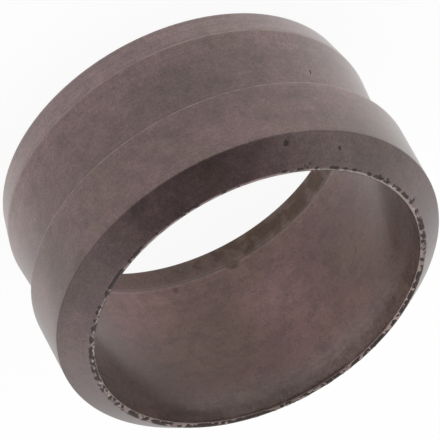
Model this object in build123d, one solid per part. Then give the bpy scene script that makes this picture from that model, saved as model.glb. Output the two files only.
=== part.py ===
"""Cutting ring for a 24 degree cone compression fitting, 20 mm tube, heavy series.

One turned steel ring. It is a single closed section spun about +Z. The ring
stands on its front (cutting) end at z = 0; the 45 degree shoulder that the
nut presses on is at the top. Millimetres, radii measured from the Z axis.
"""
import os
from math import radians, tan

from build123d import *

# Whole ring
overall_length = 12.5
tube_clearance_diameter = 20.29

# Front end, pressed into the 24 degree cone of the fitting body
front_wall = 0.905
front_cone_length = 1.85
front_cone_half_angle = 12.0

# Slim body between the front cone and the collar, thinnest where it meets the collar
body_wall_at_collar = 0.955
body_length = 5.05

# Collar, and the shoulder under the nut
collar_wall = 1.855
shoulder_angle = 45.0

# Rear mouth of the bore: flat land, broken edge, then a slight lead down to the bore
rear_land_width = 0.13
edge_break_width = 0.17
edge_break_length = 0.1
mouth_lead_width = 0.055
mouth_lead_length = 1.0

# Cutting edges inside the front end, with a relief between them
first_edge_step_in = 0.115
second_edge_position = 1.45
relief_depth = 0.155
relief_run_in = 0.25


def ring_section():
    """Half section in the XZ plane: X is the radius, Y of the sketch is the height."""
    bore_radius = tube_clearance_diameter / 2
    first_edge_radius = bore_radius - first_edge_step_in
    relief_radius = bore_radius + relief_depth
    relief_top = second_edge_position - relief_run_in

    front_radius = bore_radius + front_wall
    cone_end_radius = front_radius + front_cone_length * tan(radians(front_cone_half_angle))
    body_end_radius = bore_radius + body_wall_at_collar
    collar_radius = bore_radius + collar_wall
    collar_start = front_cone_length + body_length

    lead_radius = bore_radius + mouth_lead_width
    lead_top = overall_length - edge_break_length
    mouth_radius = lead_radius + edge_break_width
    shoulder_end_radius = mouth_radius + rear_land_width
    shoulder_height = (collar_radius - shoulder_end_radius) * tan(radians(shoulder_angle))

    outline = [
        (first_edge_radius, 0.0),
        (front_radius, 0.0),
        (cone_end_radius, front_cone_length),
        (body_end_radius, collar_start),
        (collar_radius, collar_start),
        (collar_radius, overall_length - shoulder_height),
        (shoulder_end_radius, overall_length),
        (mouth_radius, overall_length),
        (lead_radius, lead_top),
        (bore_radius, lead_top - mouth_lead_length),
        (bore_radius, second_edge_position),
        (relief_radius, relief_top),
    ]
    with BuildSketch(Plane.XZ) as section:
        with BuildLine():
            Polyline(*outline, close=True)
        make_face()
    return section.sketch


def cutting_ring():
    """The section spun once about the ring's axis."""
    with BuildPart() as ring:
        add(ring_section())
        revolve(axis=Axis.Z, revolution_arc=360.0)
    return ring.part


ring = cutting_ring()
ring.label = "cutting_ring"

os.makedirs("parts", exist_ok=True)
export_step(ring, "parts/cutting_ring.step")
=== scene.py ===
"""Cutting ring for a 24 degree cone fitting, as it looks: dark, dull turned steel.

The finished ring stands for the solid of the same name. All lengths are in metres.
"""

from math import cos, pi, radians, sin, tan

import bpy
from mathutils import Matrix, Vector


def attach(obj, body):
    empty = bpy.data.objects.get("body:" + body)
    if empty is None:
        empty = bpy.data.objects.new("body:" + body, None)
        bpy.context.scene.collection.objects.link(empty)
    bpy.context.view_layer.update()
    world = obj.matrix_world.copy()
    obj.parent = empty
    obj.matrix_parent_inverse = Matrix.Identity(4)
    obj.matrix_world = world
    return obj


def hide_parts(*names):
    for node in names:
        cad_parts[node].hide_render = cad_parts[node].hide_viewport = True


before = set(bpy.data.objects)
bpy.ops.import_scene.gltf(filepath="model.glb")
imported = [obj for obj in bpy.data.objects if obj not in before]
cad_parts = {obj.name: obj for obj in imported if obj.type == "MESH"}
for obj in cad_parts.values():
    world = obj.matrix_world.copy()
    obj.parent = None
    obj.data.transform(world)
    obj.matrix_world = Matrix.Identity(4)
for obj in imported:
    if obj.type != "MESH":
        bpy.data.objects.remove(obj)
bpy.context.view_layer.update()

MM = 0.001

# Sizes of the turned section, in millimetres, the same as the solid's
BORE_RADIUS = 10.145
FIRST_EDGE_RADIUS = 10.03
RELIEF_RADIUS = 10.3
RELIEF_TOP = 1.2
SECOND_EDGE = 1.45
FRONT_RADIUS = 11.05
CONE_LENGTH = 1.85
CONE_HALF_ANGLE = 12.0
BODY_END_RADIUS = 11.1
COLLAR_START = 6.9
COLLAR_RADIUS = 11.995
SHOULDER_START = 11.0
LAND_OUTER_RADIUS = 10.5
LAND_INNER_RADIUS = 10.37
LEAD_RADIUS = 10.2
EDGE_BREAK_LENGTH = 0.1
MOUTH_LEAD_LENGTH = 1.0
LENGTH = 12.5

STEPS_ROUND = 740


# Small helpers for node trees


def node(tree, kind, feeds=None, **settings):
    """A new node. feeds maps an input's name or number to a value or an output."""
    made = tree.nodes.new(kind)
    for name, value in settings.items():
        setattr(made, name, value)
    for key, value in (feeds or {}).items():
        if isinstance(value, bpy.types.NodeSocket):
            tree.links.new(value, made.inputs[key])
        else:
            made.inputs[key].default_value = value
    return made


def maths(tree, operation, first, second=0.0, third=0.0, clamp=False):
    """The output of one Math node; shader and geometry trees share it."""
    feeds = {0: first, 1: second, 2: third}
    return node(tree, "ShaderNodeMath", feeds, operation=operation, use_clamp=clamp).outputs[0]


def ramp_between(tree, value, low, high, smooth=True):
    """0 below low and 1 above high; the other way round where low is above high."""
    feeds = {"Value": value, "From Min": low, "From Max": high}
    made = node(tree, "ShaderNodeMapRange", feeds)
    if smooth:
        made.interpolation_type = "SMOOTHSTEP"
    return made.outputs["Result"]


def open_tree(name, kind, inputs, outputs):
    """A node group with named sockets; returns it with its Group Input and Group Output."""
    tree = bpy.data.node_groups.new(name, kind)
    for label, socket, value in inputs:
        made = tree.interface.new_socket(label, in_out="INPUT", socket_type=socket)
        if value is not None:
            made.default_value = value
    for label, socket in outputs:
        tree.interface.new_socket(label, in_out="OUTPUT", socket_type=socket)
    return tree, tree.nodes.new("NodeGroupInput"), tree.nodes.new("NodeGroupOutput")


# The turned section


def corners():
    """(radius, height, edge radius, spacing to the next corner), all in millimetres."""
    cone_end = FRONT_RADIUS + CONE_LENGTH * tan(radians(CONE_HALF_ANGLE))
    lead_top = LENGTH - EDGE_BREAK_LENGTH
    return [
        (FIRST_EDGE_RADIUS, 0.0, 0.03, 0.25),
        (FRONT_RADIUS, 0.0, 0.08, 0.25),
        (cone_end, CONE_LENGTH, 0.12, 0.3),
        (BODY_END_RADIUS, COLLAR_START, 0.1, 0.3),
        (COLLAR_RADIUS, COLLAR_START, 0.05, 0.22),
        (COLLAR_RADIUS, SHOULDER_START, 0.08, 0.13),
        (LAND_OUTER_RADIUS, LENGTH, 0.03, 0.05),
        (LAND_INNER_RADIUS, LENGTH, 0.03, 0.05),
        (LEAD_RADIUS, lead_top, 0.03, 0.2),
        (BORE_RADIUS, lead_top - MOUTH_LEAD_LENGTH, 0.4, 0.5),
        (BORE_RADIUS, SECOND_EDGE, 0.1, 0.2),
        (RELIEF_RADIUS, RELIEF_TOP, 0.1, 0.3),
    ]


def rounded_section():
    """The closed section as points, each corner rounded and the straights divided."""
    table = corners()
    points = []
    for i, (x, z, edge, _) in enumerate(table):
        here = Vector((x, z))
        before = Vector(table[i - 1][:2])
        after = Vector(table[(i + 1) % len(table)][:2])
        spacing = table[i][3]
        back = (before - here).normalized()
        ahead = (after - here).normalized()
        start = here + back * edge
        end = here + ahead * edge
        for t in (0.0, 0.33, 0.67, 1.0):
            points.append(start * (1 - t) ** 2 + here * 2 * t * (1 - t) + end * t**2)
        next_edge = table[(i + 1) % len(table)][2]
        straight = (after - here).length - edge - next_edge
        pieces = max(1, round(straight / spacing))
        for k in range(1, pieces):
            points.append(end + ahead * straight * k / pieces)
    return points


def section_object():
    """The section as a loose ring of vertices in the XZ plane, for the lathe tree."""
    points = rounded_section()
    mesh = bpy.data.meshes.new("section")
    verts = [(p.x * MM, 0.0, p.y * MM) for p in points]
    edges = [(i, (i + 1) % len(verts)) for i in range(len(verts))]
    mesh.from_pydata(verts, edges, [])
    made = bpy.data.objects.new("section", mesh)
    bpy.context.scene.collection.objects.link(made)
    return made


# Small damage, each (degrees round the ring, radius, height, reach, depth) in millimetres
SHOULDER_PITS = [
    (241.0, 11.65, 11.35, 0.27, 0.03),
    (223.5, 11.33, 11.67, 0.15, 0.02),
]
MOUTH_CHIPS = [
    (236.0, 10.62, 12.38, 0.12, 0.03),
    (234.0, 10.7, 12.3, 0.12, 0.03),
    (228.5, 10.75, 12.25, 0.08, 0.03),
    (221.0, 10.52, 12.48, 0.1, 0.03),
    (206.0, 10.54, 12.46, 0.2, 0.04),
    (202.0, 10.57, 12.43, 0.17, 0.04),
    (197.0, 10.54, 12.46, 0.15, 0.04),
    (190.0, 10.52, 12.48, 0.14, 0.04),
    (185.5, 10.66, 12.34, 0.16, 0.04),
    (180.5, 10.54, 12.46, 0.13, 0.04),
    (173.0, 10.5, 12.5, 0.18, 0.04),
    (169.5, 10.46, 12.5, 0.13, 0.04),
    (165.0, 10.42, 12.5, 0.16, 0.04),
    (161.0, 10.4, 12.5, 0.13, 0.04),
    (153.0, 10.4, 12.5, 0.16, 0.04),
    (146.5, 10.4, 12.5, 0.13, 0.04),
]
OTHER_PITS = [
    (217.5, 11.23, 5.0, 0.08, 0.02),
]
NICKS = SHOULDER_PITS + MOUTH_CHIPS + OTHER_PITS


def nick_object():
    """The nicks' places as loose vertices with their reach and depth."""
    mesh = bpy.data.meshes.new("nicks")
    verts = []
    for turn, radius, height, _, _ in NICKS:
        a = radians(turn)
        verts.append((radius * cos(a) * MM, radius * sin(a) * MM, height * MM))
    mesh.from_pydata(verts, [], [])
    for name, column in (("reach", 3), ("depth", 4)):
        layer = mesh.attributes.new(name, "FLOAT", "POINT")
        for i, row in enumerate(NICKS):
            layer.data[i].value = row[column] * MM
    made = bpy.data.objects.new("nicks", mesh)
    bpy.context.scene.collection.objects.link(made)
    return made


# The lathe: turns the section round +Z and marks it


def lathe_tree():
    tree, given, result = open_tree(
        "Lathe",
        "GeometryNodeTree",
        [
            ("Section", "NodeSocketGeometry", None),
            ("Steps Round", "NodeSocketInt", STEPS_ROUND),
            ("Nicks", "NodeSocketObject", None),
            ("Chip Depth", "NodeSocketFloat", 0.02 * MM),
            ("Chip Length", "NodeSocketFloat", 0.3 * MM),
            ("Seed", "NodeSocketInt", 7),
            ("Finish", "NodeSocketMaterial", None),
        ],
        [("Ring", "NodeSocketGeometry")],
    )
    section = given.outputs["Section"]
    rows = node(tree, "GeometryNodeAttributeDomainSize", {"Geometry": section}).outputs["Point Count"]
    steps = given.outputs["Steps Round"]
    grid = node(
        tree,
        "GeometryNodeMeshGrid",
        {
            "Size X": 1.0,
            "Size Y": 1.0,
            "Vertices X": maths(tree, "ADD", steps, 1.0),
            "Vertices Y": maths(tree, "ADD", rows, 1.0),
        },
    )
    place = node(tree, "ShaderNodeSeparateXYZ", {0: node(tree, "GeometryNodeInputPosition").outputs[0]})
    column = maths(tree, "ROUND", maths(tree, "MULTIPLY", maths(tree, "ADD", place.outputs["X"], 0.5), steps))
    row = maths(tree, "ROUND", maths(tree, "MULTIPLY", maths(tree, "ADD", place.outputs["Y"], 0.5), rows))
    turn = maths(tree, "DIVIDE", maths(tree, "MODULO", column, steps), steps)
    turn = maths(tree, "MULTIPLY", turn, 2 * pi)
    sampled = node(
        tree,
        "GeometryNodeSampleIndex",
        {
            "Geometry": section,
            "Value": node(tree, "GeometryNodeInputPosition").outputs[0],
            "Index": maths(tree, "MODULO", row, rows),
        },
        data_type="FLOAT_VECTOR",
    )
    point = node(tree, "ShaderNodeSeparateXYZ", {0: sampled.outputs[0]})
    spun = node(
        tree,
        "ShaderNodeCombineXYZ",
        {
            "X": maths(tree, "MULTIPLY", point.outputs["X"], maths(tree, "COSINE", turn)),
            "Y": maths(tree, "MULTIPLY", point.outputs["X"], maths(tree, "SINE", turn)),
            "Z": point.outputs["Z"],
        },
    )
    spun_grid = {"Geometry": grid.outputs["Mesh"], "Position": spun.outputs[0]}
    shell = node(tree, "GeometryNodeSetPosition", spun_grid)
    closed = node(tree, "GeometryNodeMergeByDistance", {"Geometry": shell.outputs[0], "Distance": 1e-7})
    marked = cut_nicks(tree, closed.outputs[0], given)
    marked = chip_mouth(tree, marked, given)
    smooth = node(tree, "GeometryNodeSetShadeSmooth", {"Geometry": marked, "Shade Smooth": True})
    real = node(tree, "GeometryNodeRealizeInstances", {"Geometry": smooth.outputs[0]})
    dressed = node(
        tree,
        "GeometryNodeSetMaterial",
        {"Geometry": real.outputs[0], "Material": given.outputs["Finish"]},
    )
    tree.links.new(dressed.outputs[0], result.inputs["Ring"])
    return tree


def stored(tree, geometry, name, value):
    """Keeps a value on the points under a name, for the finish to read."""
    made = node(
        tree,
        "GeometryNodeStoreNamedAttribute",
        {"Geometry": geometry, "Name": name, "Value": value},
        data_type="FLOAT",
        domain="POINT",
    )
    return made.outputs[0]


def pushed_in(tree, geometry, depth):
    """The surface moved inwards along its normal by a depth at each point."""
    normal = node(tree, "GeometryNodeInputNormal").outputs[0]
    away = node(tree, "ShaderNodeVectorMath", {0: normal}, operation="SCALE")
    tree.links.new(maths(tree, "MULTIPLY", depth, -1.0), away.inputs["Scale"])
    made = node(tree, "GeometryNodeSetPosition", {"Geometry": geometry, "Offset": away.outputs[0]})
    return made.outputs[0]


def cut_nicks(tree, geometry, given):
    """A dimple at each nick's place, and its shape kept as the attribute nick."""
    source = node(tree, "GeometryNodeObjectInfo", {"Object": given.outputs["Nicks"]}).outputs["Geometry"]
    here = node(tree, "GeometryNodeInputPosition").outputs[0]
    nearest = node(
        tree,
        "GeometryNodeSampleNearest",
        {"Geometry": source, "Sample Position": here},
        domain="POINT",
    ).outputs[0]

    def at_nearest(value, kind):
        made = node(
            tree,
            "GeometryNodeSampleIndex",
            {"Geometry": source, "Value": value, "Index": nearest},
            data_type=kind,
        )
        return made.outputs[0]

    place = at_nearest(node(tree, "GeometryNodeInputPosition").outputs[0], "FLOAT_VECTOR")
    sizes = []
    for name in ("reach", "depth"):
        field = node(tree, "GeometryNodeInputNamedAttribute", {"Name": name}, data_type="FLOAT")
        sizes.append(at_nearest(field.outputs[0], "FLOAT"))
    reach, depth = sizes
    jag = node(
        tree,
        "ShaderNodeTexNoise",
        {"Vector": here, "Scale": 9000.0, "Detail": 2.0},
    ).outputs[0]
    gap = node(tree, "ShaderNodeVectorMath", {0: here, 1: place}, operation="DISTANCE").outputs["Value"]
    near = maths(tree, "DIVIDE", gap, maths(tree, "MULTIPLY", reach, maths(tree, "ADD", jag, 0.5)))
    shape = ramp_between(tree, near, 1.0, 0.3)
    kept = stored(tree, geometry, "nick", shape)
    return pushed_in(tree, kept, maths(tree, "MULTIPLY", shape, depth))


def chip_mouth(tree, geometry, given):
    """Small chips along the sharp rear mouth, kept as the attribute chip."""
    here = node(tree, "GeometryNodeInputPosition").outputs[0]
    axes = node(tree, "ShaderNodeSeparateXYZ", {0: here})
    radius = node(
        tree,
        "ShaderNodeVectorMath",
        {0: node(tree, "ShaderNodeVectorMath", {0: here, 1: (1, 1, 0)}, operation="MULTIPLY").outputs[0]},
        operation="LENGTH",
    ).outputs["Value"]
    worn_side = maths(
        tree,
        "MULTIPLY",
        ramp_between(tree, axes.outputs["X"], 3.0 * MM, -3.0 * MM),
        ramp_between(tree, axes.outputs["Y"], 2.0 * MM, -1.0 * MM),
    )
    clean_side = ramp_between(tree, axes.outputs["Y"], -8.0 * MM, -9.8 * MM)
    reach_in = maths(tree, "MULTIPLY", worn_side, (LAND_INNER_RADIUS - LEAD_RADIUS) * MM)
    from_lead = maths(tree, "SUBTRACT", maths(tree, "SUBTRACT", radius, LEAD_RADIUS * MM), reach_in)
    on_land = maths(
        tree,
        "MULTIPLY",
        ramp_between(tree, axes.outputs["Z"], (LENGTH - 0.14) * MM, (LENGTH - 0.02) * MM),
        ramp_between(tree, from_lead, -0.04 * MM, 0.03 * MM),
    )
    scale = maths(tree, "DIVIDE", 1.0, given.outputs["Chip Length"])
    grain = node(
        tree,
        "ShaderNodeTexNoise",
        {"Vector": here, "Scale": scale, "Detail": 1.0, "W": given.outputs["Seed"]},
        noise_dimensions="4D",
    ).outputs[0]
    start = maths(tree, "ADD", 0.44, maths(tree, "MULTIPLY", worn_side, 0.04))
    start = maths(tree, "ADD", start, maths(tree, "MULTIPLY", clean_side, 0.1))
    broken = maths(
        tree,
        "MULTIPLY",
        ramp_between(tree, grain, start, maths(tree, "ADD", start, 0.06)),
        on_land,
    )
    kept = stored(tree, geometry, "chip", broken)
    return pushed_in(tree, kept, maths(tree, "MULTIPLY", broken, given.outputs["Chip Depth"]))


def socket_id(tree, label):
    """The identifier that a modifier knows an input by."""
    return next(s.identifier for s in tree.interface.items_tree if s.name == label)


def turned_ring(finish):
    """The finished ring as one plain mesh, in place."""
    section = section_object()
    nicks = nick_object()
    tree = lathe_tree()
    lathe = section.modifiers.new("Lathe", "NODES")
    lathe.node_group = tree
    lathe[socket_id(tree, "Steps Round")] = STEPS_ROUND
    lathe[socket_id(tree, "Nicks")] = nicks
    lathe[socket_id(tree, "Finish")] = finish
    graph = bpy.context.evaluated_depsgraph_get()
    mesh = bpy.data.meshes.new_from_object(section.evaluated_get(graph))
    mesh.name = "ring_skin"
    made = bpy.data.objects.new("ring_skin", mesh)
    bpy.context.scene.collection.objects.link(made)
    bpy.data.objects.remove(section)
    bpy.data.objects.remove(nicks)
    return made


# Finish: patterns as node groups, each putting out masks, values or colours only

FLOAT = "NodeSocketFloat"
VECTOR = "NodeSocketVector"
COLOUR = "NodeSocketColor"


def noise(tree, place, size, seed, detail=2.0, grit=0.5):
    """Noise whose lumps are about as wide as size, in the units of place; grit sharpens its detail."""
    feeds = {"Vector": place, "Detail": detail, "Roughness": grit}
    made = node(tree, "ShaderNodeTexNoise", feeds, noise_dimensions="4D")
    tree.links.new(maths(tree, "DIVIDE", 1.0, size), made.inputs["Scale"])
    tree.links.new(maths(tree, "ADD", seed, 0.37), made.inputs["W"])
    return made.outputs[0]


def mixed(tree, share, first, second):
    """The first colour turning into the second."""
    made = node(tree, "ShaderNodeMix", data_type="RGBA")
    for key, value in (("Factor_Float", share), ("A_Color", first), ("B_Color", second)):
        socket = next(s for s in made.inputs if s.identifier == key)
        if isinstance(value, bpy.types.NodeSocket):
            tree.links.new(value, socket)
        elif isinstance(value, tuple):
            socket.default_value = (*value, 1.0)
        else:
            socket.default_value = value
    return next(s for s in made.outputs if s.identifier == "Result_Color")


def put_out(tree, result, **values):
    """Links a group's results; an underscore stands for a space in the socket's name."""
    for name, value in values.items():
        tree.links.new(value, result.inputs[name.replace("_", " ")])


def ring_place():
    """Radius and height in millimetres, and which part of the turned section that is."""
    tree, given, result = open_tree(
        "Ring place",
        "ShaderNodeTree",
        [("Point", VECTOR, None)],
        [
            ("Millimetres", VECTOR),
            ("Radius", FLOAT),
            ("Height", FLOAT),
            ("Bore", FLOAT),
            ("Relief", FLOAT),
            ("Shoulder", FLOAT),
            ("Collar", FLOAT),
            ("Front Cone", FLOAT),
        ],
    )
    scaled = node(tree, "ShaderNodeVectorMath", {0: given.outputs["Point"]}, operation="SCALE")
    scaled.inputs["Scale"].default_value = 1.0 / MM
    flat = node(tree, "ShaderNodeVectorMath", {0: scaled.outputs[0], 1: (1, 1, 0)}, operation="MULTIPLY")
    radius = node(tree, "ShaderNodeVectorMath", {0: flat.outputs[0]}, operation="LENGTH").outputs["Value"]
    height = node(tree, "ShaderNodeSeparateXYZ", {0: scaled.outputs[0]}).outputs["Z"]
    inside = ramp_between(tree, radius, RELIEF_RADIUS + 0.03, RELIEF_RADIUS + 0.01)
    low = ramp_between(tree, height, SECOND_EDGE + 0.03, SECOND_EDGE - 0.05)
    on_shoulder = maths(tree, "ADD", radius, height)
    shoulder_sum = COLLAR_RADIUS + SHOULDER_START
    on_shoulder = ramp_between(tree, on_shoulder, shoulder_sum - 0.1, shoulder_sum - 0.04)
    on_mouth = ramp_between(tree, height, LENGTH - 0.2, LENGTH - 0.12)
    put_out(
        tree,
        result,
        Millimetres=scaled.outputs[0],
        Radius=radius,
        Height=height,
        Bore=maths(tree, "MULTIPLY", inside, maths(tree, "SUBTRACT", 1.0, low)),
        Relief=maths(tree, "MULTIPLY", inside, low),
        Shoulder=maths(tree, "MAXIMUM", on_shoulder, on_mouth),
        Collar=ramp_between(tree, height, COLLAR_START - 0.05, COLLAR_START + 0.05),
        Front_Cone=ramp_between(tree, height, CONE_LENGTH + 0.15, CONE_LENGTH - 0.15),
    )
    return tree


def mottling():
    """Uneven darkening: broad clouds, small blotches and fine dark specks."""
    tree, given, result = open_tree(
        "Mottling",
        "ShaderNodeTree",
        [
            ("Millimetres", VECTOR, None),
            ("Cloud Size", FLOAT, 3.0),
            ("Blotch Size", FLOAT, 1.0),
            ("Seed", FLOAT, 0.0),
        ],
        [("Clouds", FLOAT), ("Blotches", FLOAT), ("Specks", FLOAT), ("Grain", FLOAT)],
    )
    place = given.outputs["Millimetres"]
    seed = given.outputs["Seed"]
    blotch = given.outputs["Blotch Size"]
    clouds = noise(tree, place, given.outputs["Cloud Size"], seed, 3.0)
    blotches = noise(tree, place, blotch, maths(tree, "ADD", seed, 5.0), 5.0, 0.72)
    specks = noise(tree, place, maths(tree, "MULTIPLY", blotch, 0.22), maths(tree, "ADD", seed, 9.0), 1.0)
    grain = noise(tree, place, maths(tree, "MULTIPLY", blotch, 0.09), maths(tree, "ADD", seed, 7.0), 1.0)
    put_out(
        tree,
        result,
        Grain=ramp_between(tree, grain, 0.3, 0.7),
        Clouds=ramp_between(tree, clouds, 0.36, 0.64),
        Blotches=ramp_between(tree, blotches, 0.32, 0.68, smooth=False),
        Specks=ramp_between(tree, specks, 0.66, 0.78),
    )
    return tree


def turning_marks():
    """Fine grooves round the ring, left by the lathe tool, uneven from one to the next."""
    tree, given, result = open_tree(
        "Turning marks",
        "ShaderNodeTree",
        [
            ("Millimetres", VECTOR, None),
            ("Radius", FLOAT, None),
            ("Height", FLOAT, None),
            ("Pitch", FLOAT, 0.14),
        ],
        [("Grooves", FLOAT)],
    )
    pitch = given.outputs["Pitch"]
    drift = noise(tree, given.outputs["Millimetres"], 5.0, 3.0, 1.0)
    across = node(
        tree,
        "ShaderNodeCombineXYZ",
        {
            "X": maths(tree, "DIVIDE", given.outputs["Radius"], pitch),
            "Y": maths(tree, "DIVIDE", given.outputs["Height"], pitch),
            "Z": maths(tree, "MULTIPLY", drift, 1.2),
        },
    ).outputs[0]
    put_out(tree, result, Grooves=noise(tree, across, 1.0, 2.0, 2.0))
    return tree


def edge_wear_and_highlight_line():
    """A thin paler line along one turned edge, with breaks in it: rubbed metal and a painted edge highlight."""
    tree, given, result = open_tree(
        "Edge wear and highlight",
        "ShaderNodeTree",
        [
            ("Millimetres", VECTOR, None),
            ("Radius", FLOAT, None),
            ("Height", FLOAT, None),
            ("Edge Radius", FLOAT, 10.0),
            ("Edge Height", FLOAT, 0.0),
            ("Width", FLOAT, 0.05),
            ("Breaks", FLOAT, 0.5),
            ("Seed", FLOAT, 0.0),
        ],
        [("Mask", FLOAT)],
    )
    aside = maths(tree, "SUBTRACT", given.outputs["Radius"], given.outputs["Edge Radius"])
    above = maths(tree, "SUBTRACT", given.outputs["Height"], given.outputs["Edge Height"])
    squares = maths(tree, "ADD", maths(tree, "POWER", aside, 2.0), maths(tree, "POWER", above, 2.0))
    gap = maths(tree, "SQRT", squares)
    line = ramp_between(tree, maths(tree, "DIVIDE", gap, given.outputs["Width"]), 1.0, 0.35)
    patchy = noise(tree, given.outputs["Millimetres"], 0.5, given.outputs["Seed"], 3.0)
    wear = ramp_between(tree, patchy, 0.42, 0.6)
    kept = maths(tree, "SUBTRACT", 1.0, maths(tree, "MULTIPLY", given.outputs["Breaks"], wear))
    put_out(tree, result, Mask=maths(tree, "MULTIPLY", line, kept))
    return tree


def rust_bloom():
    """Brown rust in ragged patches, thicker where Amount is higher."""
    tree, given, result = open_tree(
        "Rust bloom",
        "ShaderNodeTree",
        [
            ("Millimetres", VECTOR, None),
            ("Amount", FLOAT, 0.5),
            ("Spread", FLOAT, 0.8),
            ("Seed", FLOAT, 0.0),
        ],
        [("Mask", FLOAT), ("Colour", COLOUR)],
    )
    place = given.outputs["Millimetres"]
    seed = given.outputs["Seed"]
    ragged = noise(tree, place, given.outputs["Spread"], seed, 5.0)
    level = maths(tree, "ADD", ragged, maths(tree, "SUBTRACT", given.outputs["Amount"], 1.0))
    shade = noise(tree, place, 0.25, maths(tree, "ADD", seed, 4.0), 2.0)
    colour = mixed(tree, ramp_between(tree, shade, 0.35, 0.65), RUST_DARK, RUST_LIGHT)
    put_out(tree, result, Mask=ramp_between(tree, level, -0.02, 0.14), Colour=colour)
    return tree


def soft_patch():
    """A round patch with a soft, ragged edge: the mask for the painted highlight and shade patches and for the rust
    spots.
    """
    tree, given, result = open_tree(
        "Soft patch",
        "ShaderNodeTree",
        [("Millimetres", VECTOR, None), ("Centre", VECTOR, None), ("Reach", FLOAT, 3.0)],
        [("Mask", FLOAT)],
    )
    feeds = {0: given.outputs["Millimetres"], 1: given.outputs["Centre"]}
    gap = node(tree, "ShaderNodeVectorMath", feeds, operation="DISTANCE").outputs["Value"]
    ragged = noise(tree, given.outputs["Millimetres"], 1.5, 6.0, 3.0)
    gap = maths(tree, "DIVIDE", gap, given.outputs["Reach"])
    gap = maths(tree, "ADD", gap, maths(tree, "MULTIPLY", maths(tree, "SUBTRACT", ragged, 0.5), 0.8))
    put_out(tree, result, Mask=ramp_between(tree, gap, 1.0, 0.0))
    return tree


def damage():
    """The nicks and the mouth's chips, read from the mesh, with ragged outlines."""
    tree, given, result = open_tree(
        "Nicks and chips",
        "ShaderNodeTree",
        [("Millimetres", VECTOR, None), ("Raggedness", FLOAT, 0.5)],
        [("Mask", FLOAT)],
    )
    nick = node(tree, "ShaderNodeAttribute", attribute_name="nick").outputs["Fac"]
    chip = node(tree, "ShaderNodeAttribute", attribute_name="chip").outputs["Fac"]
    both = maths(tree, "MAXIMUM", nick, chip)
    ragged = noise(tree, given.outputs["Millimetres"], 0.09, 1.0, 2.0)
    ragged = maths(tree, "MULTIPLY", maths(tree, "SUBTRACT", ragged, 0.5), given.outputs["Raggedness"])
    put_out(tree, result, Mask=ramp_between(tree, maths(tree, "ADD", both, ragged), 0.3, 0.6))
    return tree


# Patches where the steel is painted paler or darker, partly painted highlight and painted shade and partly uneven
# tone, with a purple or olive tint;
# each (degrees round, radius, height, reach, paler, purple), where a paler below 0 is darker and a purple below 0
# is olive
LIGHT_AND_TONE_PATCHES = [
    (48.0, 10.1, 3.0, 4.5, 0.42, 1.0),
    (94.0, 10.1, 5.0, 3.5, 0.5, 1.0),
    (76.0, 10.1, 7.0, 3.5, 0.0, -1.0),
    (112.0, 10.1, 11.5, 6.5, 0.45, 0.6),
    (145.0, 10.1, 9.0, 6.0, 0.1, -1.0),
    (258.0, 11.2, 5.5, 6.5, -0.25, 1.0),
    (290.0, 11.2, 4.0, 6.0, 0.0, 1.0),
    (285.0, 11.3, 11.7, 5.0, 0.0, 1.0),
    (243.0, 11.3, 1.5, 5.0, 0.0, -1.0),
    (210.0, 11.3, 11.7, 5.5, -0.22, -1.0),
    (318.0, 11.8, 10.8, 4.5, -0.22, 0.0),
    (335.0, 11.3, 2.0, 6.0, 0.35, 0.0),
    (334.0, 12.0, 9.0, 2.5, 0.25, 0.0),
    (206.0, 11.6, 7.0, 4.5, 0.25, 0.0),
    (45.0, 10.1, 9.0, 4.5, -0.2, 0.0),
    (99.0, 10.1, 7.5, 4.5, 0.15, 0.5),
    (142.0, 10.1, 12.0, 4.0, 0.35, -0.5),
]

# Rust by the second cutting edge, each (degrees round, height, reach)
RUST_SPOTS = [(95.0, 1.1, 1.0), (88.0, 1.5, 0.8), (104.0, 0.6, 0.7), (66.0, 1.8, 0.5)]

# Colours of the darkened steel and of rust, of rubbed edges with painted edge highlights, and a near-black for dark
# specks and for painted shade in nicks and chips
BODY_STEEL = (0.168, 0.108, 0.1)
COLLAR_STEEL = (0.168, 0.106, 0.096)
# The front cone is a touch paler than the body: partly painted light, where the cone faces the bright side of the
# tent.
LIT_CONE_STEEL = (0.174, 0.112, 0.105)
SHOULDER_STEEL = (0.102, 0.064, 0.062)
BORE_STEEL = (0.156, 0.092, 0.08)
RELIEF_STEEL = (0.115, 0.066, 0.053)
PURPLE_CAST = (1.02, 0.975, 1.04)
OLIVE_CAST = (0.97, 0.985, 0.92)
EDGE_WEAR_AND_HIGHLIGHT_STEEL = (0.3, 0.235, 0.21)
PALER_MOUTH_STEEL = (0.2, 0.162, 0.148)
RUST_DARK = (0.12, 0.068, 0.043)
RUST_LIGHT = (0.2, 0.115, 0.062)
NEAR_BLACK = (0.03, 0.019, 0.015)


def group(tree, made_group, **feeds):
    """A placed group, fed by socket name with underscores for spaces."""
    placed = node(tree, "ShaderNodeGroup", node_tree=made_group)
    for name, value in feeds.items():
        socket = placed.inputs[name.replace("_", " ")]
        if isinstance(value, bpy.types.NodeSocket):
            tree.links.new(value, socket)
        else:
            socket.default_value = value
    return placed.outputs


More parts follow.
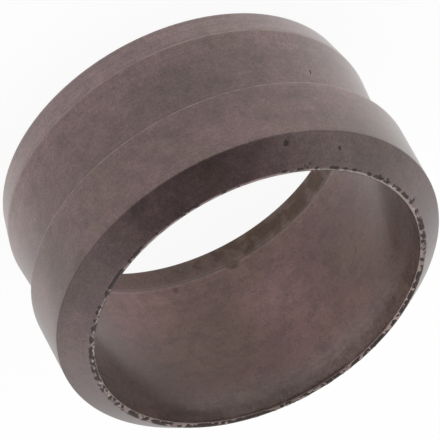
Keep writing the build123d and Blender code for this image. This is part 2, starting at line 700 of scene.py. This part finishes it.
def dark_steel():
    material = bpy.data.materials.new("Darkened turned steel")
    material.use_nodes = True
    tree = material.node_tree
    tree.nodes.clear()
    point = node(tree, "ShaderNodeTexCoord").outputs["Object"]
    place = group(tree, ring_place(), Point=point)
    there = place["Millimetres"]
    section = {"Millimetres": there, "Radius": place["Radius"], "Height": place["Height"]}
    mottle = group(tree, mottling(), Millimetres=there, Cloud_Size=4.0, Blotch_Size=1.1, Seed=2.0)
    grooves = group(tree, turning_marks(), Pitch=0.13, **section)["Grooves"]

    colour = mixed(tree, place["Collar"], BODY_STEEL, COLLAR_STEEL)
    zones = (
        ("Front Cone", LIT_CONE_STEEL),
        ("Shoulder", SHOULDER_STEEL),
        ("Bore", BORE_STEEL),
        ("Relief", RELIEF_STEEL),
    )
    for zone, steel in zones:
        colour = mixed(tree, place[zone], colour, steel)
    patch = soft_patch()
    paler = 1.0
    purple = mottle["Clouds"]
    # Each patch makes the steel paler or darker: painted highlight and painted shade, along with uneven tone of the
    # steel.
    for turn, radius, height, reach, pale_by, purple_by in LIGHT_AND_TONE_PATCHES:
        a = radians(turn)
        centre = (radius * cos(a), radius * sin(a), height)
        mask = group(tree, patch, Millimetres=there, Centre=centre, Reach=reach)["Mask"]
        paler = maths(tree, "MULTIPLY", paler, maths(tree, "ADD", 1.0, maths(tree, "MULTIPLY", mask, pale_by)))
        purple = maths(tree, "ADD", purple, maths(tree, "MULTIPLY", mask, purple_by), clamp=True)
    cast = mixed(tree, purple, OLIVE_CAST, PURPLE_CAST)
    colour = node(tree, "ShaderNodeVectorMath", {0: colour, 1: cast}, operation="MULTIPLY").outputs[0]
    uneven = maths(tree, "ADD", 0.72, maths(tree, "MULTIPLY", mottle["Blotches"], 0.56))
    near_front = ramp_between(tree, place["Height"], 4.0, 1.0)
    marks = maths(tree, "MULTIPLY", maths(tree, "ADD", 0.3, maths(tree, "MULTIPLY", near_front, 0.5)), grooves)
    uneven = maths(tree, "MULTIPLY", uneven, maths(tree, "ADD", 0.85, marks))
    uneven = maths(tree, "MULTIPLY", uneven, paler)
    uneven = maths(tree, "MULTIPLY", uneven, maths(tree, "ADD", 0.8, maths(tree, "MULTIPLY", mottle["Grain"], 0.4)))
    # The bore's colour turns paler towards the rear mouth.
    toward_mouth = maths(tree, "MULTIPLY", place["Bore"], ramp_between(tree, place["Height"], 9.0, 11.9))
    colour = mixed(tree, maths(tree, "MULTIPLY", toward_mouth, 0.55), colour, PALER_MOUTH_STEEL)
    shaded = node(tree, "ShaderNodeVectorMath", {0: colour}, operation="SCALE")
    tree.links.new(uneven, shaded.inputs["Scale"])
    colour = mixed(tree, maths(tree, "MULTIPLY", mottle["Specks"], 0.45), shaded.outputs[0], NEAR_BLACK)

    # Rust in the relief grows heavier towards -X; that side's extra darkening is partly rust and partly painted
    # shade.
    rust_and_shade_side = ramp_between(tree, node(tree, "ShaderNodeSeparateXYZ", {0: there}).outputs["X"], 5.0, -3.0)
    amount = maths(tree, "MULTIPLY", place["Relief"], maths(tree, "ADD", 0.38, maths(tree, "MULTIPLY", rust_and_shade_side, 0.22)))
    for turn, height, reach in RUST_SPOTS:
        a = radians(turn)
        centre = (RELIEF_RADIUS * cos(a), RELIEF_RADIUS * sin(a), height)
        spot = group(tree, patch, Millimetres=there, Centre=centre, Reach=reach)["Mask"]
        amount = maths(tree, "MAXIMUM", amount, maths(tree, "MULTIPLY", spot, 0.9))
    rust = group(
        tree,
        rust_bloom(),
        Millimetres=there,
        Amount=amount,
        Spread=0.7,
        Seed=3.0,
    )
    colour = mixed(tree, maths(tree, "MULTIPLY", rust["Mask"], 0.65), colour, rust["Colour"])
    edge_wear_and_highlight = edge_wear_and_highlight_line()
    # Pale lines along three turned edges: rubbed metal and painted edge highlights.
    lines = [
        (CONE_LENGTH, FRONT_RADIUS + CONE_LENGTH * tan(radians(CONE_HALF_ANGLE)), 0.07, 0.6),
        (COLLAR_START, COLLAR_RADIUS, 0.11, 0.75),
        (LENGTH, LAND_INNER_RADIUS, 0.1, 0.8),
    ]
    for i, (height, radius, width, breaks) in enumerate(lines):
        line = group(
            tree, edge_wear_and_highlight, Edge_Height=height, Edge_Radius=radius, Width=width, Breaks=breaks, Seed=float(i), **section
        )
        colour = mixed(tree, maths(tree, "MULTIPLY", line["Mask"], 0.85), colour, EDGE_WEAR_AND_HIGHLIGHT_STEEL)
    hurt = group(tree, damage(), Millimetres=there, Raggedness=0.6)["Mask"]
    # Nicks and chips are painted near-black: painted shade in these shallow dents.
    colour = mixed(tree, hurt, colour, NEAR_BLACK)

    dull = maths(tree, "MAXIMUM", hurt, maths(tree, "MULTIPLY", rust["Mask"], 0.4))
    clean = maths(tree, "SUBTRACT", 1.0, dull)
    rough = maths(tree, "ADD", 0.34, maths(tree, "MULTIPLY", mottle["Blotches"], 0.12))
    rough = maths(tree, "SUBTRACT", rough, maths(tree, "MULTIPLY", place["Bore"], 0.12))
    rough = maths(tree, "SUBTRACT", 0.75, maths(tree, "MULTIPLY", clean, maths(tree, "SUBTRACT", 0.75, rough)))
    bared = maths(tree, "MAXIMUM", place["Bore"], place["Shoulder"])
    coat = maths(tree, "SUBTRACT", 0.78, maths(tree, "MULTIPLY", bared, 0.38))
    bump = node(
        tree,
        "ShaderNodeBump",
        {"Height": maths(tree, "ADD", grooves, mottle["Blotches"]), "Distance": 0.006 * MM, "Strength": 0.6},
    )
    steel = node(
        tree,
        "ShaderNodeBsdfPrincipled",
        {
            "Base Color": colour,
            "Metallic": maths(tree, "MULTIPLY", clean, 0.55),
            "Roughness": rough,
            "Coat Weight": maths(tree, "MULTIPLY", clean, coat),
            "Coat Roughness": 0.3,
            "Normal": bump.outputs[0],
        },
    )
    out = node(tree, "ShaderNodeOutputMaterial")
    tree.links.new(steel.outputs[0], out.inputs["Surface"])
    return material


# Floor, light and camera


def seen_directly(tree, to_camera, in_reflection):
    """The share of plain white a surface shows to the camera, and in metal or through glass."""
    path = node(tree, "ShaderNodeLightPath")
    camera = maths(tree, "MULTIPLY", path.outputs["Is Camera Ray"], to_camera)
    other = maths(tree, "MAXIMUM", path.outputs["Is Glossy Ray"], path.outputs["Is Transmission Ray"])
    return maths(tree, "ADD", camera, maths(tree, "MULTIPLY", other, in_reflection))


FLOOR_HALF_WIDTH = 2.0
FLOOR_DROP = 0.01 * MM
# The floor's glow in reflections falls from full white to this level across X: painted light falloff.
GLOW_FALLOFF_FROM = -0.01
GLOW_FALLOFF_TO = 0.01
GLOW_FALLOFF_LEVEL = 0.82


def pale_floor():
    """A white sheet whose glow in reflections is painted dimmer towards the +X side, a painted light falloff."""
    material = bpy.data.materials.new("Pale floor")
    material.use_nodes = True
    tree = material.node_tree
    tree.nodes.clear()
    out = node(tree, "ShaderNodeOutputMaterial")
    matt = node(tree, "ShaderNodeBsdfDiffuse", {"Color": (0.92, 0.92, 0.92, 1.0)})
    place = node(tree, "ShaderNodeTexCoord").outputs["Object"]
    sideways = node(tree, "ShaderNodeSeparateXYZ", {0: place}).outputs["X"]
    shades_off = node(
        tree,
        "ShaderNodeMapRange",
        {
            "Value": sideways,
            "From Min": GLOW_FALLOFF_FROM,
            "From Max": GLOW_FALLOFF_TO,
            "To Min": 1.0,
            "To Max": GLOW_FALLOFF_LEVEL,
        },
    ).outputs["Result"]
    camera_ray = node(tree, "ShaderNodeLightPath").outputs["Is Camera Ray"]
    level = maths(tree, "MAXIMUM", shades_off, camera_ray)
    white = node(tree, "ShaderNodeEmission", {"Color": (1, 1, 1, 1), "Strength": level})
    shown = seen_directly(tree, 0.93, 1.0)
    both = node(tree, "ShaderNodeMixShader", {0: shown, 1: matt.outputs[0], 2: white.outputs[0]})
    tree.links.new(both.outputs[0], out.inputs["Surface"])
    half = FLOOR_HALF_WIDTH
    mesh = bpy.data.meshes.new("floor")
    corners_round = [(-half, -half), (half, -half), (half, half), (-half, half)]
    mesh.from_pydata([(x, y, -FLOOR_DROP) for x, y in corners_round], [], [(0, 1, 2, 3)])
    mesh.materials.append(material)
    floor = bpy.data.objects.new("floor", mesh)
    bpy.context.scene.collection.objects.link(floor)


TILT = 52.08
ROLL = 151.3
CAMERA_DISTANCE = 0.4957
CAMERA_TARGET = (-0.00023, -0.006345, 0.010955)
LENS = 706.5


def photographed_from():
    """The photograph's long lens, tilted from the ring's axis and rolled."""
    data = bpy.data.cameras.new("camera")
    data.lens = LENS
    data.sensor_width = 36.0
    data.clip_start = 0.01
    data.clip_end = 20.0
    camera = bpy.data.objects.new("camera", data)
    bpy.context.scene.collection.objects.link(camera)
    turn = Matrix.Rotation(radians(TILT), 4, "X") @ Matrix.Rotation(radians(ROLL), 4, "Z")
    back = turn.to_3x3() @ Vector((0, 0, CAMERA_DISTANCE))
    camera.matrix_world = Matrix.Translation(Vector(CAMERA_TARGET) + back) @ turn
    bpy.context.scene.camera = camera


def light_tent():
    """White cloth all round, with a dim opening where the camera looks in."""
    world = bpy.data.worlds.new("Light tent")
    bpy.context.scene.world = world
    world.use_nodes = True
    tree = world.node_tree
    tree.nodes.clear()
    out = node(tree, "ShaderNodeOutputWorld")
    way = node(tree, "ShaderNodeTexCoord").outputs["Generated"]
    opening = (0.0, -sin(radians(TILT)), cos(radians(TILT)))
    facing = node(tree, "ShaderNodeVectorMath", {0: way, 1: opening}, operation="DOT_PRODUCT")
    shade = ramp_between(tree, facing.outputs["Value"], 0.97, 0.38)
    level = maths(tree, "ADD", maths(tree, "MULTIPLY", shade, 1.25), 0.12)
    cloth = node(tree, "ShaderNodeBackground", {"Color": (1, 1, 1, 1), "Strength": level})
    white = node(tree, "ShaderNodeBackground", {"Color": (1, 1, 1, 1), "Strength": 1.0})
    camera_ray = node(tree, "ShaderNodeLightPath").outputs["Is Camera Ray"]
    both = node(tree, "ShaderNodeMixShader", {0: camera_ray, 1: cloth.outputs[0], 2: white.outputs[0]})
    tree.links.new(both.outputs[0], out.inputs["Surface"])


bpy.context.scene.view_settings.view_transform = "Standard"
ring = turned_ring(dark_steel())
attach(ring, "root")
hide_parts("cutting_ring")
pale_floor()
light_tent()
photographed_from()
